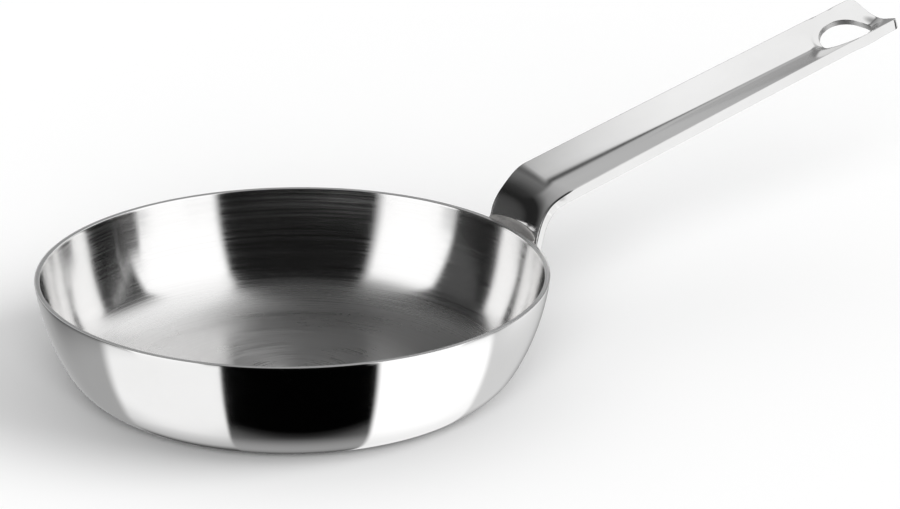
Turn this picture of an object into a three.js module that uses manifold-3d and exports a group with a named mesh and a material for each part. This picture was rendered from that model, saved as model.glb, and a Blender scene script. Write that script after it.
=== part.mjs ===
// Small frying pan of clad sheet steel with a welded, pressed steel handle.
// Millimetres, +Z up. The origin is the centre of the flat base, and the handle points along +X.
import * as THREE from 'three';
import { mergeVertices } from 'three/addons/utils/BufferGeometryUtils.js';
import Module from 'manifold-3d';

const { degToRad, lerp } = THREE.MathUtils;

// Pan body, measured on its outside
const rimDiameter = 160;
const bodyHeight = 36.8;
const baseDiameter = 106;
const cornerRadius = 21;
const wallTurn = degToRad(21.6);

// Layers of the clad sheet
const outerSteel = 0.4;
const aluminiumCore = 1.0;
const innerSteel = 0.4;

// Handle: where it runs, in the upright plane through the pan's axis
const handleReach = 219;
const handleSlope = degToRad(16.2);
const neckRise = 12.4;
const bendRadius = 18.9;
const rootDepth = 16;

// Handle: its pressed section
const handleSheet = 1.9;
const rootWidth = 29;
const neckWidth = 27.8;
const gripWidth = 30.4;
const endWidth = 26.8;
const gripGutter = 2.1;
const endGutter = 4;
const gutterRound = 2.5;
const rootLip = 0.2;
const gripLip = 1.2;
const rootCornerRadius = 6;
const endCornerRadius = 2.4;

// Hanging hole
const holeDiameter = 17.6;
const holeFromEnd = 13;

// Welds between the wall and the handle, and the gap that they fill
const weldClearance = 0.3;
const leastWeld = 0.05;
const rootGap = 0.9;
const rimWeldInset = 1;
const rimWeldDepth = 1.5;
const rimWeldDip = 0.2;
const rimWeldSlope = degToRad(45);
const sideWeldRadius = 1.1;
const sideWeldInset = 2;

// Fineness of the faceted surfaces
const turnFacets = 64;
const cornerFacets = 5;
const wallFacets = 5;
const bendFacets = 10;
const gripFacets = 12;
const rootFacets = 3;
const roundFacets = 4;
const holeFacets = 40;
const beadFacets = 10;
const rimWeldFacets = 12;
const acrossShares = [0, 0.08, 0.17, 0.5, 0.75, 1];

const wasm = await Module();
wasm.setup();

const rimRadius = rimDiameter / 2;
const baseRadius = baseDiameter / 2;
const rootClearance = leastWeld + 2 * weldClearance;

// Turn of the corner arc, such that the wall arc after it turns as set and ends at the rim
const wallBend = wallTurn / 2;
const cornerToRim = new THREE.Vector2(rimRadius - baseRadius, bodyHeight - cornerRadius);
const cornerLead = Math.asin(cornerRadius * Math.cos(wallBend) / cornerToRim.length());
const cornerTurn = cornerToRim.angle() + cornerLead - wallBend;

// Outside of the pan from the base's edge to the rim: a corner arc, then a flatter wall arc tangent to it.
// Each place holds its radius, its height and the slope of the surface there.
function outsidePlaces() {
  const places = [];
  for (let step = 0; step <= cornerFacets; step += 1) {
    const slope = cornerTurn * step / cornerFacets;
    places.push({
      radius: baseRadius + cornerRadius * Math.sin(slope),
      height: cornerRadius * (1 - Math.cos(slope)),
      slope,
    });
  }
  const start = places[cornerFacets];
  const chord = Math.hypot(rimRadius - start.radius, bodyHeight - start.height);
  for (let step = 1; step <= wallFacets; step += 1) {
    const share = step / wallFacets;
    const length = chord * Math.sin(wallBend * share) / Math.sin(wallBend);
    const heading = cornerTurn + wallBend * share;
    places.push({
      radius: start.radius + length * Math.cos(heading),
      height: start.height + length * Math.sin(heading),
      slope: cornerTurn + wallTurn * share,
    });
  }
  return places;
}

const outside = outsidePlaces();

// The surface a given depth inside the sheet, from the axis to the level rim
function sheetProfile(depth) {
  const rim = outside.at(-1);
  const wall = outside.slice(0, -1).map(({ radius, height, slope }) => new THREE.Vector2(
    radius - depth * Math.sin(slope),
    height + depth * Math.cos(slope),
  ));
  const rimEdge = new THREE.Vector2(rimRadius - depth / Math.sin(rim.slope), bodyHeight);
  return [new THREE.Vector2(0, depth), ...wall, rimEdge];
}

// One layer of the sheet, turned round the pan's axis
function layer(depth, thickness) {
  const profile = [...sheetProfile(depth), ...sheetProfile(depth + thickness).reverse()];
  return new THREE.LatheGeometry(profile, turnFacets).rotateX(Math.PI / 2);
}

// Outside radius of the faceted wall at a height
function wallRadius(height) {
  const above = outside.find((place, at) => at > 0 && place.height >= height) ?? outside.at(-1);
  const below = outside[outside.indexOf(above) - 1];
  const share = (height - below.height) / (above.height - below.height);
  return lerp(below.radius, above.radius, share);
}

// Straight line beside the wall at a distance from the handle's plane, clear of the wall's bulge.
// It runs from a low height to a high one, as points (distance from the axis, height).
function lineAlongWall(low, high, aside, clearance) {
  const reach = (height) => Math.sqrt(wallRadius(height) ** 2 - aside ** 2);
  const chordAt = (height) => lerp(reach(low), reach(high), (height - low) / (high - low));
  const between = outside.map((place) => place.height).filter((height) => height > low && height < high);
  const bulge = Math.max(0, ...between.map((height) => reach(height) - chordAt(height)));
  const shift = bulge + clearance;
  return new THREE.LineCurve(
    new THREE.Vector2(reach(low) + shift, low),
    new THREE.Vector2(reach(high) + shift, high),
  );
}

// Handle's run: the line of its two top edges, as a root line, a bend and a grip line
const rootLine = lineAlongWall(bodyHeight - rootDepth, bodyHeight, rootWidth / 2, rootClearance);
const rootHeading = rootLine.getTangent(0).angle();
const neckCorner = rootLine.getPoint(1 + neckRise / rootDepth);
const bendTurn = rootHeading - handleSlope;
const bendSetback = bendRadius * Math.tan(bendTurn / 2);
const rootDirection = new THREE.Vector2(Math.cos(rootHeading), Math.sin(rootHeading));
const gripDirection = new THREE.Vector2(Math.cos(handleSlope), Math.sin(handleSlope));
const bendStart = neckCorner.clone().addScaledVector(rootDirection, -bendSetback);
const bendEnd = neckCorner.clone().addScaledVector(gripDirection, bendSetback);
const gripLength = (handleReach - bendEnd.x) / gripDirection.x;
const rootLength = bendStart.distanceTo(rootLine.v1);
const bendInward = new THREE.Vector2(rootDirection.y, -rootDirection.x);
const bendCentre = bendStart.clone().addScaledVector(bendInward, bendRadius);

// Gutter at the root: as deep as the wall is round across the root, and a gap more
const rootGutter = rimRadius - Math.sqrt(rimRadius ** 2 - (rootWidth / 2) ** 2) + rootGap;

// How far a rounded corner draws the edge in, a distance before the end of the strip
function cornerInset(fromEnd, radius) {
  if (fromEnd >= radius) return 0;
  return radius - Math.sqrt(radius ** 2 - (radius - fromEnd) ** 2);
}

// Distances from an end that spread evenly round a rounded corner
function cornerSteps(radius) {
  return Array.from({ length: roundFacets }, (_, step) => {
    return radius * (1 - Math.cos(Math.PI / 2 * step / roundFacets));
  });
}

// Width of the handle through its bend: it draws in to the neck's width half-way round
const waist = new THREE.SplineCurve([
  new THREE.Vector2(0, rootWidth),
  new THREE.Vector2(1, neckWidth),
  new THREE.Vector2(2, gripWidth),
]);

// Places along the handle where its section is set
function handleStations() {
  const stations = [];
  const rootDistances = cornerSteps(rootCornerRadius);
  for (let step = 0; step <= rootFacets; step += 1) {
    rootDistances.push(lerp(rootCornerRadius, rootLength, step / rootFacets));
  }
  for (const distance of rootDistances) {
    stations.push({
      point: rootLine.v1.clone().addScaledVector(rootDirection, distance),
      heading: rootHeading,
      width: rootWidth,
      inset: cornerInset(distance, rootCornerRadius),
      gutter: rootGutter,
      round: rootWidth / 2,
      lip: rootLip,
    });
  }
  for (let step = 1; step <= bendFacets; step += 1) {
    const share = step / bendFacets;
    const heading = rootHeading - bendTurn * share;
    const outward = new THREE.Vector2(-Math.sin(heading), Math.cos(heading));
    stations.push({
      point: bendCentre.clone().addScaledVector(outward, bendRadius),
      heading,
      width: waist.getPoint(share).y,
      inset: 0,
      gutter: lerp(rootGutter, gripGutter, share),
      round: lerp(rootWidth / 2, gutterRound, share),
      lip: lerp(rootLip, gripLip, share),
    });
  }
  const gripDistances = [];
  for (let step = 1; step <= gripFacets; step += 1) {
    gripDistances.push((gripLength - endCornerRadius) * step / gripFacets);
  }
  gripDistances.push(...cornerSteps(endCornerRadius).reverse().map((fromEnd) => gripLength - fromEnd));
  for (const distance of gripDistances) {
    const share = distance / gripLength;
    stations.push({
      point: bendEnd.clone().addScaledVector(gripDirection, distance),
      heading: handleSlope,
      width: lerp(gripWidth, endWidth, share),
      inset: cornerInset(gripLength - distance, endCornerRadius),
      gutter: lerp(gripGutter, endGutter, share),
      round: gutterRound,
      lip: gripLip,
    });
  }
  return stations;
}

// Height of the gutter's surface under its edges, at a distance from the middle: a V with a round bottom
function gutterTop({ width, gutter, round }, aside) {
  const half = width / 2;
  const far = Math.abs(aside);
  const along = far > round ? far : (far ** 2 + round ** 2) / (2 * round);
  return -gutter * (half - along) / (half - round / 2);
}

// Closed section across the handle: gutter on top, sheet of even height, and turned-down edges
function handleSection(station) {
  const edge = station.width / 2 - station.inset;
  const insideLip = edge - handleSheet;
  const top = (aside) => gutterTop(station, aside);
  const under = (aside) => top(aside) - handleSheet;
  const lipBottom = under(insideLip) - station.lip;
  const half = [
    ...acrossShares.map((share) => [edge * share, top(edge * share)]),
    [edge, lipBottom],
    [insideLip, lipBottom],
    ...acrossShares.toReversed().map((share) => [insideLip * share, under(insideLip * share)]),
  ];
  const otherHalf = half.slice(1, -1).reverse().map(([aside, height]) => [-aside, height]);
  return [...half, ...otherHalf].map(([aside, height]) => new THREE.Vector2(aside, height));
}

// A point of a section, put at its station
function placeSectionPoint({ point, heading }, { x: aside, y: height }) {
  return new THREE.Vector3(
    point.x - height * Math.sin(heading),
    aside,
    point.y + height * Math.cos(heading),
  );
}

// Closed surface over a row of sections with the same number of points, each put in its place
function loft(sections, place) {
  const count = sections[0].length;
  const points = sections.flatMap((section, at) => section.map((corner) => place(at, corner)));
  const triangles = [];
  for (let at = 0; at < sections.length - 1; at += 1) {
    for (let corner = 0; corner < count; corner += 1) {
      const next = (corner + 1) % count;
      const here = at * count;
      const there = here + count;
      triangles.push(here + corner, there + corner, here + next);
      triangles.push(here + next, there + corner, there + next);
    }
  }
  const last = (sections.length - 1) * count;
  for (const [a, b, c] of THREE.ShapeUtils.triangulateShape(sections[0], [])) triangles.push(a, c, b);
  for (const [a, b, c] of THREE.ShapeUtils.triangulateShape(sections.at(-1), [])) {
    triangles.push(last + a, last + b, last + c);
  }
  return new THREE.BufferGeometry().setFromPoints(points).setIndex(triangles);
}

// A closed geometry as a solid for cutting, and back
function toSolid(geometry) {
  const bare = geometry.clone();
  bare.deleteAttribute('normal');
  bare.deleteAttribute('uv');
  const merged = mergeVertices(bare);
  return new wasm.Manifold(new wasm.Mesh({
    numProp: 3,
    vertProperties: new Float32Array(merged.attributes.position.array),
    triVerts: new Uint32Array(merged.index.array),
  }));
}

function toGeometry(solid) {
  const mesh = solid.getMesh();
  const geometry = new THREE.BufferGeometry();
  geometry.setAttribute('position', new THREE.BufferAttribute(mesh.vertProperties, 3));
  geometry.setIndex(new THREE.BufferAttribute(mesh.triVerts, 1));
  return geometry;
}

// Handle: the pressed strip, less its hanging hole
function handleGeometry() {
  const stations = handleStations();
  const strip = loft(stations.map(handleSection), (at, corner) => placeSectionPoint(stations[at], corner));
  const drillLength = 4 * (endGutter + handleSheet);
  const centre = bendEnd.clone().addScaledVector(gripDirection, gripLength - holeFromEnd);
  const drill = new THREE.CylinderGeometry(holeDiameter / 2, holeDiameter / 2, drillLength, holeFacets);
  drill.rotateX(Math.PI / 2).rotateY(-handleSlope).translate(centre.x, 0, centre.y);
  return toGeometry(toSolid(strip).subtract(toSolid(drill)));
}

// Weld in the gap between the rim and the root: a lens in plan that rises outward, from side to side
function rimWeldGeometry() {
  const halfLength = rootWidth / 2 - rimWeldInset;
  const rootSection = { width: rootWidth, gutter: rootGutter, round: rootWidth / 2 };
  const low = bodyHeight - rimWeldDepth;
  const wallAt = (radius, aside) => Math.sqrt((radius + weldClearance) ** 2 - aside ** 2);
  const rootAt = (height, aside) => {
    const edge = rootLine.getPoint(1 + (height - bodyHeight) / rootDepth).x;
    return edge - gutterTop(rootSection, aside) - weldClearance;
  };
  const asides = Array.from({ length: rimWeldFacets + 1 }, (_, step) => {
    return lerp(halfLength, -halfLength, step / rimWeldFacets);
  });
  const sections = asides.map((aside) => {
    const inside = wallAt(rimRadius, aside);
    const rise = (rootAt(bodyHeight, aside) - inside) * Math.tan(rimWeldSlope);
    const insideTop = bodyHeight - rimWeldDip;
    const outsideTop = insideTop + rise;
    return [
      new THREE.Vector2(wallAt(wallRadius(low), aside), low),
      new THREE.Vector2(inside, insideTop),
      new THREE.Vector2(rootAt(outsideTop, aside), outsideTop),
      new THREE.Vector2(rootAt(low, aside), low),
    ];
  });
  return loft(sections, (at, corner) => new THREE.Vector3(corner.x, asides[at], corner.y));
}

// Weld bead down one side of the root
function sideWeldGeometry(side) {
  const aside = rootWidth / 2 + weldClearance + sideWeldRadius;
  const low = bodyHeight - rootDepth + sideWeldInset + sideWeldRadius;
  const high = bodyHeight - sideWeldInset - sideWeldRadius;
  const line = lineAlongWall(low, high, aside, sideWeldRadius + weldClearance);
  const middle = line.getPoint(0.5);
  const bead = new THREE.CapsuleGeometry(sideWeldRadius, line.getLength(), roundFacets, beadFacets);
  bead.rotateX(Math.PI / 2).rotateY(Math.PI / 2 - line.getTangent(0).angle());
  return bead.translate(middle.x, side * aside, middle.y);
}

function steel(color, roughness) {
  return new THREE.MeshStandardMaterial({ color, roughness, metalness: 1 });
}

const pan = new THREE.Group();

function addPiece(name, geometry, material) {
  const mesh = new THREE.Mesh(geometry, material);
  mesh.name = name;
  pan.add(mesh);
}

addPiece('outer_steel_layer', layer(0, outerSteel), steel(0xdcdcda, 0.05));
addPiece('aluminium_core', layer(outerSteel, aluminiumCore), steel(0xd2d3d4, 0.4));
addPiece('inner_steel_layer', layer(outerSteel + aluminiumCore, innerSteel), steel(0xcfcfcd, 0.3));
addPiece('handle', handleGeometry(), steel(0xdcdcda, 0.08));
addPiece('rim_weld', rimWeldGeometry(), steel(0xbdbcb9, 0.45));
addPiece('left_side_weld', sideWeldGeometry(1), steel(0xbdbcb9, 0.45));
addPiece('right_side_weld', sideWeldGeometry(-1), steel(0xbdbcb9, 0.45));

export default pan;
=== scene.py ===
"""Looks of a small clad-steel frying pan: fine meshes, steel finishes, a plain studio and the camera.

Sizes are in millimetres in the pan's own frame, as in the CAD, and become metres when a mesh is made.
"""
import math

import bmesh
import bpy
import numpy as np
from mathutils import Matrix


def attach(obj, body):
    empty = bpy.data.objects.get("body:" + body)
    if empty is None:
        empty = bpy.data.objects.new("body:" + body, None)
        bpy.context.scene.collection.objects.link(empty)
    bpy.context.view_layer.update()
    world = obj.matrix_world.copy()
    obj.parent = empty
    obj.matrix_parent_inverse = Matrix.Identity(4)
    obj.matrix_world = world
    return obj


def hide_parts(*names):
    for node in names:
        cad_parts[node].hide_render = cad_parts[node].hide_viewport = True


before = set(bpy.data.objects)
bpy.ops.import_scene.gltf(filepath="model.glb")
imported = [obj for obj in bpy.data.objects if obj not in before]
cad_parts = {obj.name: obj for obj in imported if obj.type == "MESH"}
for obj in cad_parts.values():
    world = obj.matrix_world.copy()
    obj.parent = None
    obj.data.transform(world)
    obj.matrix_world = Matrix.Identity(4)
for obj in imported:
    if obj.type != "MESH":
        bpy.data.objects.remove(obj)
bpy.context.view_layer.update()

MM = 0.001

# Pan body, measured on its outside
RIM_RADIUS = 80.0
BODY_HEIGHT = 36.8
BASE_RADIUS = 53.0
CORNER_RADIUS = 21.0
WALL_TURN = math.radians(21.6)
OUTER_STEEL = 0.4
ALUMINIUM_CORE = 1.0
INNER_STEEL = 0.4

# Rim's edges, and how the inside leaves the outside: straighter at half height and flared under the rim
RIM_OUTER_ROUNDING = 0.12
RIM_INNER_ROUNDING = 0.24
STRAIGHTER = 0.45
FLARE = 0.12
FLARE_REACH = 7.0

# Handle: its run in the upright plane through the pan's axis
HANDLE_REACH = 219.0
HANDLE_SLOPE = math.radians(16.2)
NECK_RISE = 12.4
BEND_RADIUS = 18.9
ROOT_DEPTH = 16.0
ROOT_CLEARANCE = 0.65
ROOT_GAP = 0.9

# Handle: its pressed section
HANDLE_SHEET = 1.9
ROOT_WIDTH = 29.0
NECK_WIDTH = 27.8
GRIP_WIDTH = 30.4
END_WIDTH = 26.8
GRIP_GUTTER = 2.1
END_GUTTER = 4.0
BEND_ROUND = 6.5
GUTTER_ROUND = 1.8
ROUND_FADE = 0.45
ROOT_LIP = 0.2
GRIP_LIP = 1.2
ROOT_CORNER = 6.0
END_CORNER = 2.4
TOP_EDGE_ROUNDING = 0.45
LIP_ROUNDING = 0.35
LEAST_LIP_ROUNDING = 0.05
LIP_FILLET = 0.3
END_ROUNDING = 0.25

# Hanging hole, pressed down into a shallow dish, past which the gutter opens out
HOLE_RADIUS = 8.8
HOLE_FROM_END = 13.0
HOLE_ROUNDING = 0.25
HOLE_MARGIN = 2.2
DISH_DEPTH = 1.2
DISH_REACH = 4.5
END_ROUND = 6.0
END_RISE = 0.5

# Welds, which narrow towards their ends and carry the ripples of the pulses that laid them
WELD_CLEARANCE = 0.3
WELD_GAP = 0.05
RIM_WELD_INSET = 1.0
RIM_WELD_DEPTH = 1.5
RIM_WELD_DIP = 0.2
RIM_WELD_CROWN = 0.5
RIM_WELD_GROOVE = 0.9
RIM_WELD_SETBACK = 0.35
RIM_WELD_END_SCALE = 0.35
RIM_WELD_END_POWER = 6
SIDE_WELD_RADIUS = 1.1
SIDE_WELD_INSET = 2.0
SIDE_WELD_TIP = 0.001
RIPPLE_PITCH = 1.6
RIM_RIPPLE = 0.015
SIDE_RIPPLE = 0.07

# Fineness of the meshes
TURN_STEPS = 288
ARC_STEPS = 28
FLOOR_RINGS = 12
WALL_SAMPLES = 40
ROUND_STEPS = 6
ROOT_STEPS = 24
BEND_STEPS = 56
GRIP_STEPS = 72
HOLE_STEPS = 28
END_STEPS = 10
INNER_ACROSS = 22
INNER_SHARE = 0.82
OUTER_ACROSS = 6
HOLE_RINGS = 12
RIM_WELD_STEPS = 161
RIM_WELD_ACROSS = 13
SIDE_WELD_STEPS = 97
SIDE_WELD_AROUND = 32
ON_AXIS = 1e-9
SHARP_ANGLE = math.radians(40)

# Camera, placed in metres: fitted to the photograph's 900 x 509 frame
CAMERA_PLACE = (-0.62174, -1.15170, 0.52719)
CAMERA_TILT = math.radians(69.682)
CAMERA_TURN = math.radians(-30.5)
LENS = 180.0
SENSOR = 36.0


# Pan body

def corner_turn():
    """Turn of the corner arc, such that the wall arc after it ends at the rim."""
    across = RIM_RADIUS - BASE_RADIUS
    up = BODY_HEIGHT - CORNER_RADIUS
    bend = WALL_TURN / 2
    lead = math.asin(CORNER_RADIUS * math.cos(bend) / math.hypot(across, up))
    return math.atan2(up, across) + lead - bend


def outside_places():
    """Radius, height and slope of the pan's outside, from the base's edge to the rim."""
    turn = corner_turn()
    bend = WALL_TURN / 2
    slope = np.linspace(0, turn, ARC_STEPS + 1)
    radius = BASE_RADIUS + CORNER_RADIUS * np.sin(slope)
    height = CORNER_RADIUS * (1 - np.cos(slope))
    chord = math.hypot(RIM_RADIUS - radius[-1], BODY_HEIGHT - height[-1])
    share = np.linspace(0, 1, ARC_STEPS + 1)[1:]
    length = chord * np.sin(bend * share) / math.sin(bend)
    heading = turn + bend * share
    return (
        np.concatenate([radius, radius[-1] + length * np.cos(heading)]),
        np.concatenate([height, height[-1] + length * np.sin(heading)]),
        np.concatenate([slope, turn + WALL_TURN * share]),
    )


OUTSIDE = outside_places()


def wall_radius(height):
    """Outside radius of the wall at a height."""
    radius, heights, _ = OUTSIDE
    return float(np.interp(height, heights, radius))


def sheet_line(depth):
    """The surface a depth inside the sheet, from the base's edge to the level rim."""
    radius, height, slope = OUTSIDE
    line = np.column_stack([radius - depth * np.sin(slope), height + depth * np.cos(slope)])
    line[-1] = (RIM_RADIUS - depth / math.sin(slope[-1]), BODY_HEIGHT)
    return line


def rounded(corner, before, after, radius):
    """Points of an arc that rounds a corner between its two neighbours."""
    corner, before, after = (np.asarray(p, float) for p in (corner, before, after))
    to_before = (before - corner) / np.linalg.norm(before - corner)
    to_after = (after - corner) / np.linalg.norm(after - corner)
    half = math.acos(np.clip(to_before @ to_after, -1, 1)) / 2
    middle = (to_before + to_after) / np.linalg.norm(to_before + to_after)
    centre = corner + middle * radius / math.sin(half)
    start = corner + to_before * radius / math.tan(half) - centre
    sweep = math.pi - 2 * half
    side = math.copysign(1, to_before[0] * start[1] - to_before[1] * start[0])
    angles = side * np.linspace(0, sweep, ROUND_STEPS + 1)
    cos, sin = np.cos(angles), np.sin(angles)
    turned = np.column_stack([start[0] * cos - start[1] * sin, start[0] * sin + start[1] * cos])
    return centre + turned


def opened(line):
    """The pan's inside: a little straighter than the outside, and flared under the rim."""
    rise = (line[:, 1] - line[0, 1]) / (line[-1, 1] - line[0, 1])
    flare = np.clip((line[:, 1] - line[-1, 1]) / FLARE_REACH + 1, 0, 1)
    shift = FLARE * flare ** 2 - 4 * STRAIGHTER * rise * (1 - rise)
    return line + np.column_stack([shift, np.zeros(len(line))])


def layer_profile(depth, thickness, round_outside=False, round_inside=False):
    """Closed outline of one layer of the sheet, from the axis outside to the axis inside."""
    outer = sheet_line(depth)
    inner = sheet_line(depth + thickness)
    if round_inside:
        inner = opened(inner)
    points = [(0, depth), *floor_points(depth), *outer[:-1]]
    if round_outside:
        points += [*rounded(outer[-1], outer[-2], inner[-1], RIM_OUTER_ROUNDING)]
    else:
        points.append(outer[-1])
    if round_inside:
        points += [*rounded(inner[-1], outer[-1], inner[-2], RIM_INNER_ROUNDING)]
    else:
        points.append(inner[-1])
    points += [*inner[:-1][::-1], *floor_points(depth + thickness)[::-1], (0, depth + thickness)]
    return np.array(points, float)


def floor_points(height):
    """Points on the level floor between the axis and the base's edge."""
    return [(BASE_RADIUS * ring / FLOOR_RINGS, height) for ring in range(1, FLOOR_RINGS)]


def turned_mesh(profile):
    """Vertices and faces of an outline turned round the pan's axis."""
    angles = np.linspace(0, 2 * math.pi, TURN_STEPS, endpoint=False)
    vertices, rows = [], []
    for radius, height in profile:
        if radius < ON_AXIS:
            rows.append([len(vertices)] * TURN_STEPS)
            vertices.append((0.0, 0.0, height))
            continue
        rows.append(list(range(len(vertices), len(vertices) + TURN_STEPS)))
        vertices += [(radius * math.cos(a), radius * math.sin(a), height) for a in angles]
    faces = []
    for low, high in zip(rows[:-1], rows[1:]):
        for at in range(TURN_STEPS):
            face = [low[at], low[at - 1], high[at - 1], high[at]]
            faces.append(list(dict.fromkeys(face)))
    return vertices, faces


# Handle

def line_along_wall(low, high, aside, clearance):
    """Two ends of a straight line beside the wall, clear of its bulge."""
    def reach(height):
        return math.sqrt(wall_radius(height) ** 2 - aside ** 2)

    heights = np.linspace(low, high, WALL_SAMPLES)
    chord = np.linspace(reach(low), reach(high), WALL_SAMPLES)
    bulge = max(reach(height) - at for height, at in zip(heights, chord))
    shift = max(0.0, bulge) + clearance
    return np.array([reach(low) + shift, low]), np.array([reach(high) + shift, high])


def direction(heading):
    """Unit step in the handle's upright plane."""
    return np.array([math.cos(heading), math.sin(heading)])


ROOT_LOW, ROOT_HIGH = line_along_wall(
    BODY_HEIGHT - ROOT_DEPTH, BODY_HEIGHT, ROOT_WIDTH / 2, ROOT_CLEARANCE
)
ROOT_HEADING = math.atan2(*(ROOT_HIGH - ROOT_LOW)[::-1])
BEND_TURN = ROOT_HEADING - HANDLE_SLOPE
BEND_SETBACK = BEND_RADIUS * math.tan(BEND_TURN / 2)
NECK_CORNER = ROOT_LOW + (ROOT_HIGH - ROOT_LOW) * (1 + NECK_RISE / ROOT_DEPTH)
BEND_START = NECK_CORNER - direction(ROOT_HEADING) * BEND_SETBACK
BEND_END = NECK_CORNER + direction(HANDLE_SLOPE) * BEND_SETBACK
BEND_CENTRE = BEND_START + direction(ROOT_HEADING - math.pi / 2) * BEND_RADIUS
ROOT_LENGTH = float(np.linalg.norm(BEND_START - ROOT_LOW))
BEND_LENGTH = BEND_RADIUS * BEND_TURN
GRIP_LENGTH = (HANDLE_REACH - BEND_END[0]) / math.cos(HANDLE_SLOPE)
HANDLE_LENGTH = ROOT_LENGTH + BEND_LENGTH + GRIP_LENGTH
HOLE_AT = HANDLE_LENGTH - HOLE_FROM_END
ROOT_GUTTER = RIM_RADIUS - math.sqrt(RIM_RADIUS ** 2 - (ROOT_WIDTH / 2) ** 2) + ROOT_GAP


def run(along):
    """Point and heading of the handle's run, a length along from the root's low end."""
    if along <= ROOT_LENGTH:
        return ROOT_LOW + direction(ROOT_HEADING) * along, ROOT_HEADING
    past = along - ROOT_LENGTH
    if past <= BEND_LENGTH:
        heading = ROOT_HEADING - past / BEND_RADIUS
        return BEND_CENTRE + direction(heading + math.pi / 2) * BEND_RADIUS, heading
    return BEND_END + direction(HANDLE_SLOPE) * (past - BEND_LENGTH), HANDLE_SLOPE


def ease(share):
    """Smooth step from 0 to 1."""
    share = min(1.0, max(0.0, share))
    return share * share * (3 - 2 * share)


def mix(low, high, share):
    """From the first value to the second by a share."""
    return low + (high - low) * share


def corner_inset(from_end, radius):
    """How far a rounded corner draws the edge in, a distance before the end of the strip."""
    if from_end >= radius:
        return 0.0
    return radius - math.sqrt(max(0.0, radius ** 2 - (radius - from_end) ** 2))


def handle_form(along):
    """Half width, gutter depth, rounding of the gutter's bottom, lip and edge of the section at a length."""
    turned = ease((along - ROOT_LENGTH) / BEND_LENGTH)
    grip = max(0.0, along - ROOT_LENGTH - BEND_LENGTH) / GRIP_LENGTH
    halfway = 2 * (along - ROOT_LENGTH) / BEND_LENGTH
    width = mix(ROOT_WIDTH, NECK_WIDTH, ease(halfway)) + mix(0, GRIP_WIDTH - NECK_WIDTH, ease(halfway - 1))
    width = mix(width, width + END_WIDTH - GRIP_WIDTH, grip)
    inset = corner_inset(along, ROOT_CORNER) + corner_inset(HANDLE_LENGTH - along, END_CORNER)
    end = ease((along - HOLE_AT) / HOLE_FROM_END)
    valley = mix(mix(ROOT_WIDTH / 2, BEND_ROUND, turned), GUTTER_ROUND, ease(grip / ROUND_FADE))
    return {
        "along": along,
        "half": width / 2,
        "gutter": mix(mix(ROOT_GUTTER, GRIP_GUTTER, turned), END_GUTTER, grip) - END_RISE * end,
        "round": mix(valley, END_ROUND, end),
        "lip": mix(ROOT_LIP, GRIP_LIP, turned),
        "edge": width / 2 - inset,
    }


def gutter_top(form, aside):
    """Height of the gutter's surface under its edges: a V with a round bottom, dished round the hole."""
    far = abs(aside)
    around = form["round"]
    across = far if far > around else (far ** 2 + around ** 2) / (2 * around)
    from_hole = math.hypot(form["along"] - HOLE_AT, aside) - HOLE_RADIUS
    dish = DISH_DEPTH * (1 - ease(from_hole / DISH_REACH))
    return -form["gutter"] * (form["half"] - across) / (form["half"] - around / 2) - dish


def handle_point(along, aside, height):
    """A point of the handle in the pan's frame."""
    place, heading = run(along)
    return (
        place[0] - height * math.sin(heading),
        aside,
        place[1] + height * math.cos(heading),
    )


def half_section(form):
    """Right half of the section, from the gutter's middle round the lip to the middle underneath."""
    edge = form["edge"]
    inside = edge - HANDLE_SHEET
    inner = [edge * INNER_SHARE * at / INNER_ACROSS for at in range(INNER_ACROSS + 1)]

    def top(aside):
        return np.array([aside, gutter_top(form, aside)])

    def under(aside):
        return np.array([aside, gutter_top(form, aside) - HANDLE_SHEET])

    lip_bottom = under(inside)[1] - form["lip"]
    corners = [top(edge), np.array([edge, lip_bottom]), np.array([inside, lip_bottom]), under(inside)]
    flank_end = edge - TOP_EDGE_ROUNDING
    flank_start = inner[-1]
    lip_round = min(LIP_ROUNDING, max(LEAST_LIP_ROUNDING, form["lip"] / 2))
    flank = [top(mix(flank_start, flank_end, at / OUTER_ACROSS)) for at in range(1, OUTER_ACROSS)]
    points = [top(aside) for aside in inner]
    points += flank
    points += [*rounded(corners[0], top(flank_start), corners[1], TOP_EDGE_ROUNDING)]
    points += [*rounded(corners[1], corners[0], corners[2], LIP_ROUNDING)]
    points += [*rounded(corners[2], corners[1], corners[3], lip_round)]
    points += [*rounded(corners[3], corners[2], under(flank_start), lip_round * LIP_FILLET / LIP_ROUNDING)]
    points += [under(aside) for aside in reversed(inner)]
    return points


def drawn_in(section, distance):
    """A closed section moved inward by a distance, for the rounding of the strip's ends."""
    section = np.asarray(section)
    tangent = np.roll(section, -1, axis=0) - np.roll(section, 1, axis=0)
    tangent /= np.linalg.norm(tangent, axis=1)[:, None]
    inward = np.column_stack([tangent[:, 1], -tangent[:, 0]])
    return section + inward * distance


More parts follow.
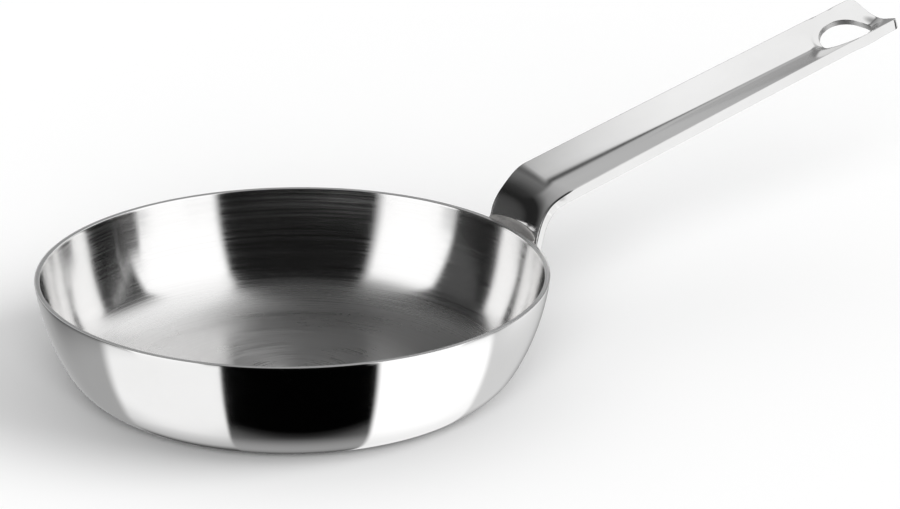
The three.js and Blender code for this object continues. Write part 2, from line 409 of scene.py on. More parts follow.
def handle_stations():
    """Lengths along the handle where its section is set, with how far the section is drawn in there."""
    hole_reach = HOLE_RADIUS + HOLE_MARGIN
    hole_from, hole_to = HOLE_AT - hole_reach, HOLE_AT + hole_reach
    bend_to = ROOT_LENGTH + BEND_LENGTH
    turns = np.linspace(0, math.pi / 2, ROUND_STEPS + 1)
    start = [(END_ROUNDING * (1 - math.cos(t)), END_ROUNDING * (1 - math.sin(t))) for t in turns]
    corner = ROOT_CORNER * (1 - np.cos(np.linspace(0, math.pi / 2, END_STEPS + 1)))
    middle = [along for along in corner if along > END_ROUNDING]
    middle += list(np.linspace(ROOT_CORNER, ROOT_LENGTH, ROOT_STEPS + 1)[1:])
    middle += list(np.linspace(ROOT_LENGTH, bend_to, BEND_STEPS + 1)[1:])
    middle += list(np.linspace(bend_to, hole_from, GRIP_STEPS + 1)[1:])
    first = len(start) + len(middle) - 1
    middle += list(np.linspace(hole_from, hole_to, HOLE_STEPS + 1)[1:])
    last = len(start) + len(middle) - 1
    tail = np.linspace(hole_to, HANDLE_LENGTH - END_ROUNDING, END_STEPS + 1)[1:-1]
    middle += list(tail)
    end = [(HANDLE_LENGTH - along, inset) for along, inset in reversed(start)]
    stations = start + [(along, 0.0) for along in middle] + end
    return stations, first, last


def hole_outline():
    """Section of the punched hole's edge, as radii and depths from the gutter's surface to the underside."""
    top = (HOLE_RADIUS, 0.0)
    low = (HOLE_RADIUS, HANDLE_SHEET)
    out = 2 * HOLE_RADIUS
    return [
        *rounded(top, (out, 0.0), low, HOLE_ROUNDING)[1:],
        *rounded(low, top, (out, HANDLE_SHEET), HOLE_ROUNDING)[:-1],
    ]


def handle_mesh():
    """Vertices and faces of the handle: a strip of sections with a ring of faces round its hole."""
    stations, first, last = handle_stations()
    vertices, faces = [], []
    half_count = 0
    for along, inset in stations:
        form = handle_form(along)
        half = half_section(form)
        half_count = len(half) - 1
        mirrored = [np.array([-p[0], p[1]]) for p in half[1:-1][::-1]]
        section = drawn_in(half + mirrored, inset)
        vertices += [handle_point(along, aside, height) for aside, height in section]
    count = 2 * half_count

    def at(station, k):
        return station * count + k % count

    for station in range(len(stations) - 1):
        for k in range(count):
            over_hole = first <= station < last
            across_top = k < INNER_ACROSS or k >= count - INNER_ACROSS
            across_under = half_count - INNER_ACROSS <= k < half_count + INNER_ACROSS
            if over_hole and (across_top or across_under):
                continue
            faces.append([at(station, k), at(station, k + 1), at(station + 1, k + 1), at(station + 1, k)])
    for station, turn in ((0, -1), (len(stations) - 1, 1)):
        for side in (1, -1):
            for k in range(INNER_ACROSS):
                corners = (side * k, side * (k + 1), half_count - side * (k + 1), half_count - side * k)
                faces.append([at(station, corner) for corner in corners[::turn * side]])
            lip = range(INNER_ACROSS, half_count - INNER_ACROSS + 1)
            faces.append([at(station, side * k) for k in lip[::turn * side]])

    border = [(first, k) for k in range(-INNER_ACROSS, INNER_ACROSS)]
    border += [(station, INNER_ACROSS) for station in range(first, last)]
    border += [(last, k) for k in range(INNER_ACROSS, -INNER_ACROSS, -1)]
    border += [(station, -INNER_ACROSS) for station in range(last, first, -1)]
    rings = [[at(station, k) for station, k in border]]
    spots = []
    for station, k in border:
        along = stations[station][0]
        aside = handle_form(along)["edge"] * INNER_SHARE * k / INNER_ACROSS
        spots.append((along, aside, math.atan2(aside, along - HOLE_AT)))

    def ring(share, out, below):
        """One ring: a share of the way from the border to a radius, a depth below the gutter's surface."""
        rings.append(list(range(len(vertices), len(vertices) + len(spots))))
        for along, aside, angle in spots:
            near_along = mix(along, HOLE_AT + out * math.cos(angle), share)
            near_aside = mix(aside, out * math.sin(angle), share)
            surface = gutter_top(handle_form(near_along), near_aside)
            vertices.append(handle_point(near_along, near_aside, surface - below))

    shares = [at_ring / HOLE_RINGS for at_ring in range(1, HOLE_RINGS + 1)]
    for share in shares:
        ring(share, HOLE_RADIUS + HOLE_ROUNDING, 0.0)
    for out, below in hole_outline():
        ring(1.0, out, below)
    for share in reversed(shares):
        ring(share, HOLE_RADIUS + HOLE_ROUNDING, HANDLE_SHEET)
    rings.append([at(station, half_count - k) for station, k in border])
    for outer, inner in zip(rings[:-1], rings[1:]):
        for k in range(len(outer)):
            n = (k + 1) % len(outer)
            faces.append([outer[k], outer[n], inner[n], inner[k]])
    return vertices, faces


# Welds

def ripple(length, share):
    """Scale of a weld bead's section along its length, from the pulses that laid it."""
    phase = (length / RIPPLE_PITCH) % 1.0
    return 1 - share * (1 - math.sin(math.pi * phase))


def lofted(sections):
    """Vertices and faces of a closed surface over sections with the same number of points."""
    count = len(sections[0])
    vertices = [tuple(point) for section in sections for point in section]
    faces = []
    for at in range(len(sections) - 1):
        for k in range(count):
            n = (k + 1) % count
            faces.append([at * count + k, at * count + n, (at + 1) * count + n, (at + 1) * count + k])
    faces.append(list(range(count))[::-1])
    faces.append([(len(sections) - 1) * count + k for k in range(count)])
    return vertices, faces


def rim_weld_mesh():
    """Weld in the lens-shaped gap between the rim and the handle's root."""
    half_length = ROOT_WIDTH / 2 - RIM_WELD_INSET
    root = handle_form(ROOT_CORNER)
    lean = (ROOT_HIGH - ROOT_LOW)[0] / ROOT_DEPTH
    low = BODY_HEIGHT - RIM_WELD_DEPTH
    sections = []
    for aside in np.linspace(-half_length, half_length, RIM_WELD_STEPS):
        def wall(height):
            return math.sqrt((wall_radius(height) + WELD_GAP) ** 2 - aside ** 2)

        def face(height):
            return ROOT_HIGH[0] + (height - BODY_HEIGHT) * lean - gutter_top(root, aside) - WELD_GAP

        inside = wall(BODY_HEIGHT)
        fade = math.sqrt(max(0.0, 1 - (aside / half_length) ** RIM_WELD_END_POWER))
        scale = mix(RIM_WELD_END_SCALE, 1.0, fade) * ripple(aside + half_length, RIM_RIPPLE)
        width = face(BODY_HEIGHT) - inside
        rise = width * scale
        start = BODY_HEIGHT - RIM_WELD_DIP
        groove = BODY_HEIGHT - RIM_WELD_GROOVE
        section = [(wall(low), aside, low), (wall(groove), aside, groove)]
        for share in np.linspace(0, 1, RIM_WELD_ACROSS):
            crown = RIM_WELD_CROWN * scale * math.sin(math.pi * share)
            height = start + rise * share + crown
            section.append((mix(inside + RIM_WELD_SETBACK * scale, face(height), share), aside, height))
        section.append((face(low), aside, low))
        sections.append(section)
    return lofted(sections)


def side_weld_mesh(side):
    """Weld bead down one side of the handle's root."""
    aside = ROOT_WIDTH / 2 + WELD_CLEARANCE + SIDE_WELD_RADIUS
    low = BODY_HEIGHT - ROOT_DEPTH + SIDE_WELD_INSET + SIDE_WELD_RADIUS
    high = BODY_HEIGHT - SIDE_WELD_INSET - SIDE_WELD_RADIUS
    start, end = line_along_wall(low, high, aside, SIDE_WELD_RADIUS + WELD_CLEARANCE)
    heading = math.atan2(*(end - start)[::-1])
    length = float(np.linalg.norm(end - start)) + 2 * SIDE_WELD_RADIUS
    out = direction(heading - math.pi / 2)
    sections = []
    for share in np.linspace(SIDE_WELD_TIP, 1 - SIDE_WELD_TIP, SIDE_WELD_STEPS):
        along = length * share - SIDE_WELD_RADIUS
        past_end = max(-along, along - length + 2 * SIDE_WELD_RADIUS, 0.0) / SIDE_WELD_RADIUS
        radius = SIDE_WELD_RADIUS * math.sqrt(max(0.0, 1 - past_end ** 2)) * ripple(along, SIDE_RIPPLE)
        centre = start + direction(heading) * along
        section = []
        for angle in np.linspace(0, 2 * math.pi, SIDE_WELD_AROUND, endpoint=False):
            place = centre + out * radius * math.cos(angle)
            section.append((place[0], side * (aside + radius * math.sin(angle)), place[1]))
        sections.append(section)
    return lofted(sections)


# Pieces

def add_piece(name, mesh_parts, node, material):
    """A smooth-shaded mesh that stands for one CAD node."""
    vertices, faces = mesh_parts
    mesh = bpy.data.meshes.new(name)
    mesh.from_pydata([tuple(c * MM for c in v) for v in vertices], [], faces)
    clean = bmesh.new()
    clean.from_mesh(mesh)
    bmesh.ops.delete(clean, geom=[v for v in clean.verts if not v.link_faces], context="VERTS")
    bmesh.ops.recalc_face_normals(clean, faces=clean.faces)
    if clean.calc_volume(signed=True) < 0:
        bmesh.ops.reverse_faces(clean, faces=clean.faces)
    clean.to_mesh(mesh)
    clean.free()
    mesh.shade_smooth()
    mesh.set_sharp_from_angle(angle=SHARP_ANGLE)
    mesh.materials.append(material)
    piece = bpy.data.objects.new(name, mesh)
    bpy.context.scene.collection.objects.link(piece)
    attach(piece, "root")
    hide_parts(node)


# Materials

# Heights between which the inside goes from the floor's coarser finish and darker colour, a painted shade, to
# the wall's finer finish and lighter colour
FLOOR_FINISH_AND_SHADE = 3.0
WALL_FINISH_UNSHADED = 13.0
# How far past the hole's radius its punched wall starts and stops giving way to the polished face
PUNCHED_FROM = 0.01
PUNCHED_TO = 0.12
# Usual ranges of a noise's values and, at outer edges, of the geometry's pointiness
NOISE_RANGE = (0.3, 0.7)
EDGE_RANGE = (0.52, 0.6)


class Nodes:
    """A node tree with short calls for its nodes."""

    def __init__(self, tree):
        self.tree = tree

    def node(self, kind, **settings):
        """A new node with its settings."""
        made = self.tree.nodes.new(kind)
        for key, value in settings.items():
            setattr(made, key, value)
        return made

    def feed(self, socket, value):
        """Link a socket to another node's output, or set its constant."""
        if isinstance(value, bpy.types.NodeSocket):
            self.tree.links.new(value, socket)
        else:
            socket.default_value = value

    def feed_all(self, node, values):
        """Feed a node's sockets by their names."""
        for socket, value in values.items():
            self.feed(node.inputs[socket], value)

    def math(self, operation, *values):
        made = self.node("ShaderNodeMath", operation=operation)
        for socket, value in zip(made.inputs, values):
            self.feed(socket, value)
        return made.outputs[0]

    def mix(self, factor, first, second, data_type="FLOAT"):
        """From the first value to the second by a factor."""
        made = self.node("ShaderNodeMix", data_type=data_type)
        self.feed_all(made, {"Factor": factor, "A": first, "B": second})
        return made.outputs["Result"]

    def split(self, vector):
        made = self.node("ShaderNodeSeparateXYZ")
        self.feed(made.inputs[0], vector)
        return made.outputs

    def coordinates(self, kind):
        return self.node("ShaderNodeTexCoord").outputs[kind]


class Finish(Nodes):
    """A metal material with short calls for its textures."""

    def __init__(self, name, **constants):
        self.material = bpy.data.materials.new(name)
        self.material.use_nodes = True
        super().__init__(self.material.node_tree)
        self.shader = self.tree.nodes["Principled BSDF"]
        self.set("Metallic", 1.0)
        for socket, value in constants.items():
            self.set(socket.replace("_", " "), value)

    def set(self, socket, value):
        self.feed(self.shader.inputs[socket], value)

    def noise(self, vector, scale=1.0, detail=4.0, roughness=0.6):
        made = self.node("ShaderNodeTexNoise")
        self.feed_all(made, {"Vector": vector, "Scale": scale, "Detail": detail, "Roughness": roughness})
        return made.outputs["Fac"]

    def between(self, value, low, high, usual=NOISE_RANGE):
        """A value's usual range stretched to another range."""
        made = self.node("ShaderNodeMapRange")
        self.feed_all(made, {"Value": value, "To Min": low, "To Max": high})
        self.feed_all(made, {"From Min": usual[0], "From Max": usual[1]})
        return made.outputs["Result"]

    def share(self, value, usual=NOISE_RANGE):
        """A value's usual range stretched to 0 to 1."""
        return self.between(value, 0.0, 1.0, usual)

    def blend(self, factor, first, second):
        """From the first colour to the second by a factor."""
        return self.mix(factor, first, second, "RGBA")

    def place(self):
        return self.coordinates("Object")

    def length(self, x, y):
        squares = self.math("ADD", self.math("MULTIPLY", x, x), self.math("MULTIPLY", y, y))
        return self.math("SQRT", squares)

    def round_place(self, across, along):
        """Coordinates in which noise is drawn out into rings round the pan's axis."""
        x, y, z = self.split(self.place())
        radius = self.length(x, y)
        join = self.node("ShaderNodeCombineXYZ")
        self.feed(join.inputs["X"], self.math("MULTIPLY", self.math("ADD", radius, z), across))
        for axis, part in (("Y", x), ("Z", y)):
            self.feed(join.inputs[axis], self.math("MULTIPLY", self.math("DIVIDE", part, radius), along))
        return join.outputs[0]

    def stretched_place(self, scale):
        mapping = self.node("ShaderNodeMapping")
        self.feed_all(mapping, {"Vector": self.place(), "Scale": scale})
        return mapping.outputs[0]

    def edges(self):
        """How much a place lies on an outer edge, from 0 to 1."""
        return self.share(self.node("ShaderNodeNewGeometry").outputs["Pointiness"], EDGE_RANGE)

    def bump(self, height, distance):
        made = self.node("ShaderNodeBump")
        self.feed_all(made, {"Strength": 1.0, "Distance": distance, "Height": height})
        self.set("Normal", made.outputs["Normal"])


def grey(level, warmth=0.0):
    """A grey colour, a little warm or cool."""
    return (level * (1 + warmth), level, level * (1 - warmth), 1.0)


def mirror_steel():
    """Outside of the pan: polished to a mirror, with faint polishing rings and cloudiness."""
    # The last colour is for the outer edges, which are darker and rougher than the faces
    cloudy, clear, edge_tone = grey(0.86, 0.004), grey(0.9, 0.002), grey(0.8, 0.003)
    cloud_roughness = (0.03, 0.06)
    ring_roughness = (0.0, 0.03)
    edge_roughness = 0.12
    mark_share = 0.4
    relief = 0.000002

    finish = Finish("polished_steel_outside")
    cloud = finish.noise(finish.place(), scale=28.0)
    rings = finish.noise(finish.round_place(across=2600.0, along=3.0), detail=3.0)
    marks = finish.noise(finish.place(), scale=420.0, detail=6.0)
    colour = finish.blend(finish.share(cloud), cloudy, clear)
    finish.set("Base Color", finish.blend(finish.edges(), colour, edge_tone))
    in_rings = finish.between(rings, *ring_roughness)
    polish = finish.math("ADD", finish.between(cloud, *cloud_roughness), in_rings)
    finish.set("Roughness", finish.math("MULTIPLY_ADD", finish.edges(), edge_roughness, polish))
    finish.bump(finish.mix(mark_share, rings, marks), relief)
    return finish.material


def brushed_steel():
    """Inside of the pan: satin, brushed in rings, finely on the wall and more coarsely over the floor, with
    painted shade darkening the floor and a painted highlight on its outer edges.
    """
    # The floor's colours are darker than the wall's: painted shade over the floor
    shaded_floor_dull, shaded_floor_bright = grey(0.62, 0.005), grey(0.74, 0.003)
    wall_dull, wall_bright = grey(0.84, 0.005), grey(0.92, 0.003)
    # Painted highlight: the inside's outer edges, at the rim, are coloured lighter than the wall
    painted_edge_highlight = grey(0.94, 0.002)
    floor_roughness = (0.26, 0.36)
    wall_roughness = (0.1, 0.155)
    cloud_roughness = (0.0, 0.04)
    broad_share = 0.3
    streak_range = (0.36, 0.64)
    cloud_cover = 0.35
    cloud_level = 0.6
    relief = 0.000001

    finish = Finish("brushed_steel_inside", Anisotropic=0.75, Anisotropic_Rotation=0.25)
    fine = finish.noise(finish.round_place(across=3400.0, along=1.2), detail=3.0)
    broad = finish.noise(finish.round_place(across=900.0, along=0.8), detail=3.0)
    cloud = finish.noise(finish.place(), scale=34.0)
    streaks = finish.mix(broad_share, fine, broad)
    lines = finish.share(streaks, streak_range)
    height = finish.split(finish.place())["Z"]
    on_wall = finish.share(height, (FLOOR_FINISH_AND_SHADE * MM, WALL_FINISH_UNSHADED * MM))
    # Painted shade: the colour darkens from the wall down to the floor
    dull = finish.blend(on_wall, shaded_floor_dull, wall_dull)
    bright = finish.blend(on_wall, shaded_floor_bright, wall_bright)
    clouded = finish.mix(finish.between(cloud, 0.0, cloud_cover), lines, cloud_level)
    colour = finish.blend(clouded, dull, bright)
    # Painted highlight on the outer edges
    finish.set("Base Color", finish.blend(finish.edges(), colour, painted_edge_highlight))
    wall = finish.between(lines, *wall_roughness)
    in_clouds = finish.between(cloud, *cloud_roughness)
    floor = finish.math("ADD", finish.between(lines, *floor_roughness), in_clouds)
    finish.set("Roughness", finish.mix(on_wall, floor, wall))
    tangent = finish.node("ShaderNodeTangent", direction_type="RADIAL", axis="Z")
    finish.set("Tangent", tangent.outputs[0])
    finish.bump(streaks, relief)
    return finish.material


def handle_steel():
    """Handle: polished lengthways, a little softer than the pan's outside, satin in the punched hole, with a
    painted highlight on its outer edges.
    """
    # The last colour is a painted highlight: the handle's outer edges are coloured lighter than its faces
    cloudy, clear, edge_tone = grey(0.695, 0.004), grey(0.745, 0.002), grey(0.76, 0.002)
    sheared_dull, sheared_bright = grey(0.6, 0.006), grey(0.68, 0.004)
    cloud_roughness = (0.05, 0.09)
    grain_roughness = (0.0, 0.05)
    edge_roughness = 0.1
    sheared_roughness = (0.42, 0.56)
    grain_scale = (60.0, 2600.0, 600.0)
    mark_share = 0.3
    relief = 0.000003

    finish = Finish("polished_steel_handle")
    cloud = finish.noise(finish.place(), scale=30.0)
    grain = finish.noise(finish.stretched_place(grain_scale))
    marks = finish.noise(finish.place(), scale=500.0, detail=6.0)
    hole = in_hole(finish)
    colour = finish.blend(finish.share(cloud), cloudy, clear)
    # Painted highlight: the outer edges take the lighter colour
    polished = finish.blend(finish.edges(), colour, edge_tone)
    sheared = finish.blend(finish.share(marks), sheared_dull, sheared_bright)
    finish.set("Base Color", finish.blend(hole, polished, sheared))
    in_grain = finish.between(grain, *grain_roughness)
    base = finish.math("ADD", finish.between(cloud, *cloud_roughness), in_grain)
    polish = finish.math("MULTIPLY_ADD", finish.edges(), edge_roughness, base)
    finish.set("Roughness", finish.mix(hole, polish, finish.between(marks, *sheared_roughness)))
    finish.bump(finish.mix(mark_share, grain, marks), relief)
    return finish.material


def in_hole(finish):
    """How much a place belongs to the wall of the hanging hole, from 0 to 1."""
    middle, heading = run(HOLE_AT)
    x, y, z = finish.split(finish.place())
    ahead = finish.math("MULTIPLY", finish.math("SUBTRACT", x, middle[0] * MM), math.cos(heading))
    above = finish.math("MULTIPLY", finish.math("SUBTRACT", z, middle[1] * MM), math.sin(heading))
    out = finish.length(finish.math("ADD", ahead, above), y)
    edge = ((HOLE_RADIUS + PUNCHED_FROM) * MM, (HOLE_RADIUS + PUNCHED_TO) * MM)
    return finish.between(out, 1.0, 0.0, edge)


def cut_aluminium():
    """Cut edge of the sheet's core, with the marks of the lathe tool round the rim."""
    dull, bright, cloudy = grey(0.65, -0.004), grey(0.78, -0.002), grey(0.7)
    cloud_cover = 0.4
    ring_roughness = (0.26, 0.42)
    relief = 0.000012

    finish = Finish("cut_aluminium")
    rings = finish.noise(finish.round_place(across=6000.0, along=3.0))
    cloud = finish.noise(finish.place(), scale=60.0)
    colour = finish.blend(finish.share(rings), dull, bright)
    finish.set("Base Color", finish.blend(finish.between(cloud, 0.0, cloud_cover), colour, cloudy))
    finish.set("Roughness", finish.between(rings, *ring_roughness))
    finish.bump(rings, relief)
    return finish.material


def weld_steel():
    """Weld beads: satin, with fine scale and a faint warm tint from the heat."""
    dull, bright, tinted = grey(0.8, 0.02), grey(0.95, 0.006), grey(0.88, 0.03)
    tint_cover = 0.6
    cloud_roughness = (0.46, 0.62)
    relief = 0.000012

    finish = Finish("weld_steel")
    scale = finish.noise(finish.place(), scale=900.0, detail=6.0)
    cloud = finish.noise(finish.place(), scale=160.0)
    colour = finish.blend(finish.share(scale), dull, bright)
    finish.set("Base Color", finish.blend(finish.between(cloud, 0.0, tint_cover), colour, tinted))
    finish.set("Roughness", finish.between(cloud, *cloud_roughness))
    finish.bump(scale, relief)
    return finish.material


# Studio

# Floor, its side in metres, and the world's levels for soft light and for the camera
FLOOR_SIZE = 60.0
FLOOR_COLOUR = 0.96
AMBIENT = 0.42
CAMERA_WHITE = 1.0
# Mirrored light is dropped past this many soft bounces
FIRST_BOUNCE = 0.5

# Soft lamps for the floor: degrees from the camera round to its right, up from the floor, and across
LAMPS = (
    {"name": "right_lamp", "bearing": 75, "elevation": 28, "breadth": 50, "strength": 2.1},
    {"name": "front_lamp", "bearing": 0, "elevation": 20, "breadth": 40, "strength": 2.9},
)

# What the metal shows of the studio, by a reflected ray's parts: right of the camera's axis, away and up.
# Light screens stand left and right of a dark gap round the camera, and a grey wall behind the pan carries
# a ceiling. Levels run over a few stops, each a place from -1 to 1 and the level there.
SCREEN_CURVE = 0.5
HORIZON = (-0.61, -0.32)

# Below the horizon the screens and the gap follow the upright columns of the pan's wall. A ray off one column
# keeps one slope from the camera's own rays, whose right and away parts are the aim and the reach.
LOW_AIM = -0.035
LOW_REACH = 0.94
LOW_LEAST_REACH = 0.02
LOW_SLANT = 1.77
LOW_LEFT = (
    (-0.89, 0.98), (-0.79, 0.96), (-0.71, 0.91), (-0.62, 0.83), (-0.51, 0.75), (-0.24, 0.62), (0.15, 0.47),
    (0.5, 0.08),
)
LOW_LEFT_EDGE = (-0.262, -0.24)
LOW_RIGHT = ((-0.79, 1.2), (-0.51, 1.12), (-0.29, 1.06), (-0.09, 1.0), (0.31, 0.94))
LOW_RIGHT_EDGE = (0.366, 0.402)
LOW_GAP_SLANT = -0.1
LOW_GAP = (
    (-0.24, 0.0005), (-0.185, 0.018), (-0.12, 0.076), (-0.04, 0.14), (0.06, 0.2), (0.17, 0.265), (0.3, 0.31),
    (0.45, 0.33), (0.6, 0.3), (0.85, 0.05),
)
LOW_FAR_LEFT_EDGE = (-1.04, -0.9)
LOW_FAR_RIGHT_EDGE = (1.2, 1.34)
LOW_FAR = ((-1.0, 0.4), (-0.3, 0.38), (-0.12, 0.28), (0.0, 0.27), (0.12, 0.45), (0.3, 0.68), (1.0, 0.68))

# Above the horizon: the screens and the gap, which change level towards the top
HIGH_GAP = 0.0095
HIGH_GAP_TOP = 0.083
HIGH_GAP_FADE = (0.7, 0.97)
HIGH_LEFT = 1.17
HIGH_LEFT_TOP = 0.28
HIGH_LEFT_FADE = (0.45, 0.85)
HIGH_LEFT_EDGE = (-0.68, -0.58)
HIGH_RIGHT = 1.17
HIGH_RIGHT_EDGE = (0.57, 0.635)

# Behind the pan: the wall and the ceiling from left to right, with the wall's top higher on the right
BACK_EDGE = (-0.155, -0.085)
BACK_SKEW = -0.072
WALL = (
    (-1.0, 0.085), (-0.93, 0.07), (-0.85, 0.021), (-0.7, 0.024), (-0.62, 0.12), (-0.5, 0.34), (-0.35, 0.48),
    (-0.14, 0.58), (-0.04, 0.31), (0.12, 0.31), (0.4, 0.7), (0.7, 1.06), (0.78, 0.88), (0.86, 0.1),
    (1.0, 0.035),
)
WALL_TOP = (0.44, 0.56)
WALL_RISE = 0.14
WALL_RISE_EDGE = (-0.17, -0.12)
CEILING = (
    (-1.0, 0.024), (-0.85, 0.02), (-0.7, 0.05), (-0.6, 0.1), (-0.5, 0.16), (-0.4, 0.2), (-0.3, 0.14),
    (-0.2, 0.08), (0.12, 0.085), (0.4, 0.2), (0.7, 0.3), (0.78, 0.25), (0.86, 0.028), (1.0, 0.01),
)

# Strip light in metres over the pan's right side, so near that bowl and handle see it in different directions
STRIP_LEVEL = 1.16
STRIP_HEIGHT = 0.32
STRIP_LEFT = 0.05
STRIP_LEFT_SKEW = -0.37
STRIP_LEFT_SOFT = 0.05
STRIP_LEFT_SPREAD = 0.33
STRIP_RIGHT = (0.28, 0.34)
STRIP_FRONT = (-0.03, 0.04)
STRIP_BACK = (0.33, 0.43)


class Studio(Nodes):
    """An emptied node tree with short calls for light levels."""

    def __init__(self, tree):
        super().__init__(tree)
        tree.nodes.clear()

    def step(self, value, edge):
        """Smooth step from 0 to 1 between the two values of an edge."""
        made = self.node("ShaderNodeMapRange", interpolation_type="SMOOTHSTEP")
        self.feed_all(made, {"Value": value, "From Min": edge[0], "From Max": edge[1]})
        return made.outputs["Result"]

    def slanted(self, away, slant, right):
        """How far a ray points away, more or less to its right by a slant."""
        return self.math("MULTIPLY_ADD", right, slant, away)

    def levels(self, value, stops):
        """A level by a value from -1 to 1, from a few stops."""
        ramp = self.node("ShaderNodeValToRGB")
        self.feed(ramp.inputs["Fac"], self.math("MULTIPLY_ADD", value, 0.5, 0.5))
        elements = ramp.color_ramp.elements
        elements.remove(elements[-1])
        for at, (stop, level) in enumerate(stops):
            position = (stop + 1) / 2
            element = elements[0] if at == 0 else elements.new(position)
            element.position = position
            element.color = grey(level)
        return ramp.outputs["Color"]


def low_levels(studio, right, away):
    """What the metal shows below the horizon."""
    reach = studio.math("MAXIMUM", studio.math("SUBTRACT", LOW_REACH, away), LOW_LEAST_REACH)
    column = studio.math("DIVIDE", studio.math("SUBTRACT", right, LOW_AIM), reach)
    left = studio.levels(studio.slanted(away, LOW_SLANT, right), LOW_LEFT)
    gap = studio.levels(studio.slanted(away, LOW_GAP_SLANT, right), LOW_GAP)
    screen = studio.levels(studio.slanted(away, -LOW_SLANT, right), LOW_RIGHT)
    far = studio.levels(right, LOW_FAR)
    low = studio.mix(studio.step(column, LOW_LEFT_EDGE), left, gap)
    low = studio.mix(studio.step(column, LOW_RIGHT_EDGE), low, screen)
    low = studio.mix(studio.step(column, LOW_FAR_LEFT_EDGE), far, low)
    return studio.mix(studio.step(column, LOW_FAR_RIGHT_EDGE), low, far)


def high_levels(studio, right, away, up):
    """What the metal shows above the horizon."""
    squeeze = studio.math("MULTIPLY_ADD", studio.math("MULTIPLY", up, up), -SCREEN_CURVE, 1.0)
    side = studio.math("DIVIDE", right, squeeze)
    left = studio.mix(studio.step(up, HIGH_LEFT_FADE), HIGH_LEFT, HIGH_LEFT_TOP)
    gap = studio.mix(studio.step(up, HIGH_GAP_FADE), HIGH_GAP, HIGH_GAP_TOP)
    high = studio.mix(studio.step(side, HIGH_LEFT_EDGE), left, gap)
    high = studio.mix(studio.step(side, HIGH_RIGHT_EDGE), high, HIGH_RIGHT)
    over = studio.math("MULTIPLY_ADD", studio.step(right, WALL_RISE_EDGE), -WALL_RISE, up)
    back = studio.mix(studio.step(over, WALL_TOP), studio.levels(right, WALL), studio.levels(right, CEILING))
    return studio.mix(studio.step(studio.slanted(away, BACK_SKEW, right), BACK_EDGE), high, back)


def studio_world():
    """White to the camera, an even grey for soft light, and the screens of the studio in the metal."""
    world = bpy.data.worlds.new("studio")
    bpy.context.scene.world = world
    world.use_nodes = True
    world.cycles.sampling_method = "NONE"
    studio = Studio(world.node_tree)
    turn = studio.node("ShaderNodeVectorRotate", rotation_type="Z_AXIS")
    studio.feed_all(turn, {"Vector": studio.coordinates("Generated"), "Angle": -CAMERA_TURN})
    right, away, up = studio.split(turn.outputs[0])
    low = low_levels(studio, right, away)
    high = high_levels(studio, right, away, up)
    shown = studio.mix(studio.step(up, HORIZON), low, high)

    rays = studio.node("ShaderNodeLightPath").outputs
    direct = studio.math("LESS_THAN", rays["Diffuse Depth"], FIRST_BOUNCE)
    mirrored = studio.math("MULTIPLY", shown, direct)
    soft = studio.mix(rays["Is Glossy Ray"], AMBIENT, mirrored)
    seen = studio.mix(rays["Is Camera Ray"], soft, CAMERA_WHITE)
    background = studio.node("ShaderNodeBackground")
    studio.feed(background.inputs["Color"], seen)
    output = studio.node("ShaderNodeOutputWorld")
    studio.feed(output.inputs["Surface"], background.outputs[0])


def flat_sheet(name, left, right, front, back):
    """A level rectangle for the studio, with a material of its name."""
    mesh = bpy.data.meshes.new(name)
    corners = [(left, front, 0), (right, front, 0), (right, back, 0), (left, back, 0)]
    mesh.from_pydata(corners, [], [(0, 1, 2, 3)])
    material = bpy.data.materials.new(name)
    material.use_nodes = True
    mesh.materials.append(material)
    sheet = bpy.data.objects.new(name, mesh)
    bpy.context.scene.collection.objects.link(sheet)
    return sheet, material


def studio_floor():
    """A wide pale floor. The metal shows the screens and not the floor, as it does in the photograph."""
    half = FLOOR_SIZE / 2
    floor, material = flat_sheet("floor", -half, half, -half, half)
    shader = material.node_tree.nodes["Principled BSDF"]
    shader.inputs["Base Color"].default_value = grey(FLOOR_COLOUR)
    shader.inputs["Roughness"].default_value = 1.0
    shader.inputs["Specular IOR Level"].default_value = 0.0
    floor.visible_glossy = False


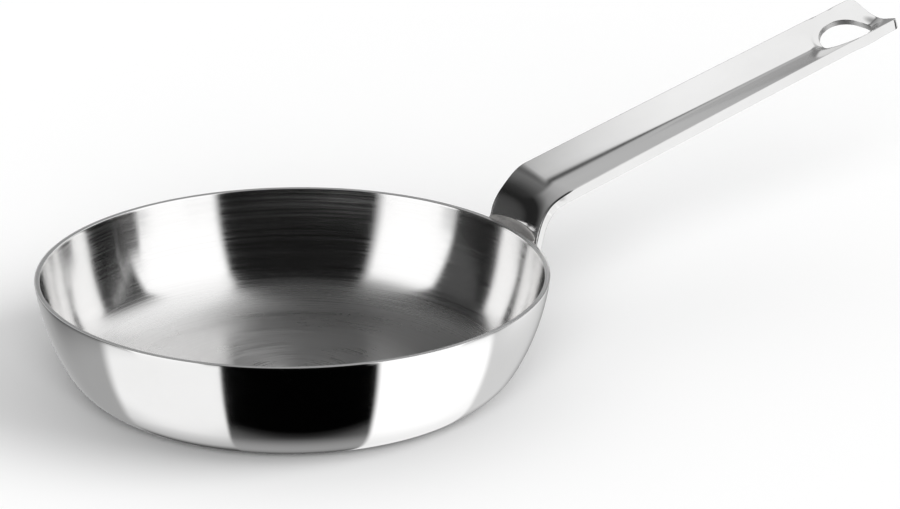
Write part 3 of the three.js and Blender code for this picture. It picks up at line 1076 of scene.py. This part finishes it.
def studio_strip():
    """A strip light with soft edges over the pan, which only the metal shows."""
    left, right = STRIP_LEFT + STRIP_LEFT_SKEW * STRIP_BACK[1], STRIP_RIGHT[1]
    strip, material = flat_sheet("strip_light", left, right, STRIP_FRONT[0], STRIP_BACK[1])
    strip.location = (0, 0, STRIP_HEIGHT)
    strip.rotation_euler = (0, 0, CAMERA_TURN)
    material.cycles.emission_sampling = "NONE"
    studio = Studio(material.node_tree)
    across, along, _ = studio.split(studio.coordinates("Object"))
    inset = studio.math("SUBTRACT", across, studio.math("MULTIPLY_ADD", along, STRIP_LEFT_SKEW, STRIP_LEFT))
    soft = studio.math("MULTIPLY_ADD", along, STRIP_LEFT_SPREAD, STRIP_LEFT_SOFT)
    lit = studio.step(studio.math("DIVIDE", inset, soft), (0, 1))
    for value, edge in ((across, STRIP_RIGHT[::-1]), (along, STRIP_FRONT), (along, STRIP_BACK[::-1])):
        lit = studio.math("MULTIPLY", lit, studio.step(value, edge))
    light = studio.node("ShaderNodeEmission")
    light.inputs["Strength"].default_value = STRIP_LEVEL
    clear = studio.node("ShaderNodeBsdfTransparent")
    shader = studio.node("ShaderNodeMixShader")
    for socket, value in zip(shader.inputs, (lit, clear.outputs[0], light.outputs[0])):
        studio.feed(socket, value)
    output = studio.node("ShaderNodeOutputMaterial")
    studio.feed(output.inputs["Surface"], shader.outputs[0])
    strip.visible_camera = False
    strip.visible_diffuse = False
    strip.visible_transmission = False
    strip.visible_shadow = False


def studio_lamp(name, bearing, elevation, breadth, strength):
    """A broad soft lamp, which the metal doesn't show."""
    light = bpy.data.lights.new(name, "SUN")
    light.energy = strength
    light.angle = math.radians(breadth)
    lamp = bpy.data.objects.new(name, light)
    lamp.rotation_euler = (math.radians(90 - elevation), 0, CAMERA_TURN + math.radians(bearing))
    lamp.visible_glossy = False
    bpy.context.scene.collection.objects.link(lamp)


def studio_camera():
    """The camera that the photograph was fitted with."""
    data = bpy.data.cameras.new("camera")
    data.lens = LENS
    data.sensor_width = SENSOR
    camera = bpy.data.objects.new("camera", data)
    camera.location = CAMERA_PLACE
    camera.rotation_euler = (CAMERA_TILT, 0, CAMERA_TURN)
    bpy.context.scene.collection.objects.link(camera)
    bpy.context.scene.camera = camera


# The pan and its studio

weld = weld_steel()
core_depth = OUTER_STEEL
inner_depth = OUTER_STEEL + ALUMINIUM_CORE
outer_layer = layer_profile(0, OUTER_STEEL, round_outside=True)
core_layer = layer_profile(core_depth, ALUMINIUM_CORE)
inner_layer = layer_profile(inner_depth, INNER_STEEL, round_inside=True)
add_piece("pan_outside", turned_mesh(outer_layer), "outer_steel_layer", mirror_steel())
add_piece("pan_core", turned_mesh(core_layer), "aluminium_core", cut_aluminium())
add_piece("pan_inside", turned_mesh(inner_layer), "inner_steel_layer", brushed_steel())
add_piece("pan_handle", handle_mesh(), "handle", handle_steel())
add_piece("rim_weld_bead", rim_weld_mesh(), "rim_weld", weld)
add_piece("left_weld_bead", side_weld_mesh(1), "left_side_weld", weld)
add_piece("right_weld_bead", side_weld_mesh(-1), "right_side_weld", weld)

studio_world()
studio_floor()
studio_strip()
for settings in LAMPS:
    studio_lamp(**settings)
studio_camera()
bpy.context.scene.view_settings.view_transform = "Standard"
